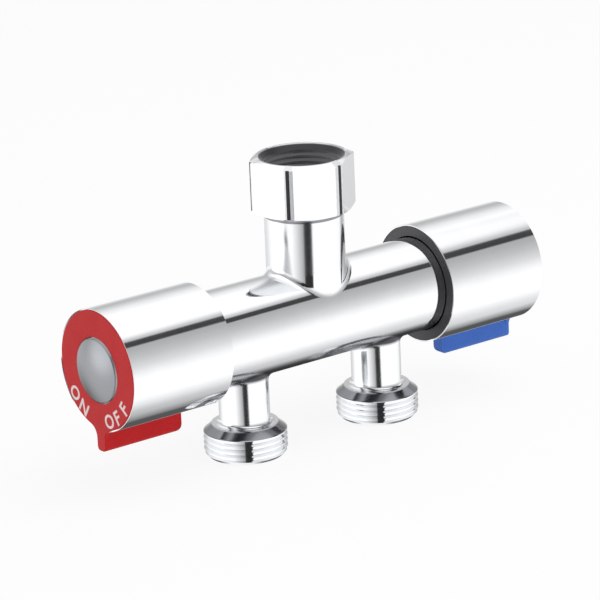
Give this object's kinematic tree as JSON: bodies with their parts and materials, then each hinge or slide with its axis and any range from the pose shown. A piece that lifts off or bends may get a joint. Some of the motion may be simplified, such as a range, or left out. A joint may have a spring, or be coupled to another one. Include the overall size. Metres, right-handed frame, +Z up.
{
  "type": "washing machine tap",
  "caption": "chromed tee tap: hexagon swivel nut on top, a red and a blue end knob with lever fin, and threaded hose outlets pointing down",
  "frame": {"origin": "on the vertical axis of the inlet, in the plane of the two outlet ends", "axes": "+X along the body to the cold (blue) handle, +Z up along the inlet, +Y away from the camera's side"},
  "size_m": [0.1682, 0.0386, 0.0919],
  "materials": {
    "body_chrome": "bright chrome plate on brass",
    "nut_chrome": "bright chrome plate on brass",
    "cup_chrome": "bright chrome plate on drawn brass",
    "steel": "plain stainless steel",
    "brass": "turned brass",
    "seal_rubber": "moulded black rubber",
    "disc_ceramic": "lapped white ceramic",
    "black_plastic": "moulded black plastic",
    "red_plastic": "moulded red plastic, glossy",
    "blue_plastic": "moulded blue plastic, glossy",
    "grey_cap": "satin silver lacquer"
  },
  "bodies": {
    "tap_body": {"tee_body": "body_chrome", "nut_retaining_ring": "steel", "inlet_washer": "seal_rubber", "hot_seat_seal": "seal_rubber", "hot_fixed_disc": "disc_ceramic", "hot_valve_bonnet": "brass", "hot_bonnet_o_ring": "seal_rubber", "cold_seat_seal": "seal_rubber", "cold_fixed_disc": "disc_ceramic", "cold_valve_bonnet": "brass", "cold_bonnet_o_ring": "seal_rubber"},
    "swivel_nut": {"inlet_nut": "nut_chrome"},
    "hot_handle": {"hot_moving_disc": "disc_ceramic", "hot_spindle": "brass", "hot_spindle_o_rings": "seal_rubber", "hot_spindle_clip": "steel", "hot_handle_shell": "cup_chrome", "hot_handle_hub": "black_plastic", "hot_handle_screw": "steel", "hot_lever_plate": "red_plastic", "hot_button_cap": "grey_cap"},
    "cold_handle": {"cold_moving_disc": "disc_ceramic", "cold_spindle": "brass", "cold_spindle_o_rings": "seal_rubber", "cold_spindle_clip": "steel", "cold_handle_shell": "cup_chrome", "cold_handle_hub": "black_plastic", "cold_handle_screw": "steel", "cold_lever_plate": "blue_plastic", "cold_button_cap": "grey_cap"}
  },
  "joints": [
    {"name": "hot_handle_turn", "type": "hinge", "parent": "tap_body", "child": "hot_handle", "pos_m": [0, 0, 0.04001], "axis": [1, 0, 0], "range_deg": [0, 90]},
    {"name": "cold_handle_turn", "type": "hinge", "parent": "tap_body", "child": "cold_handle", "pos_m": [0, 0, 0.04001], "axis": [-1, 0, 0], "range_deg": [0, 90]},
    {"name": "inlet_nut_swivel", "type": "hinge", "parent": "tap_body", "child": "swivel_nut", "pos_m": [0, 0, 0.08301], "axis": [0, 0, 1], "continuous": true}
  ]
}
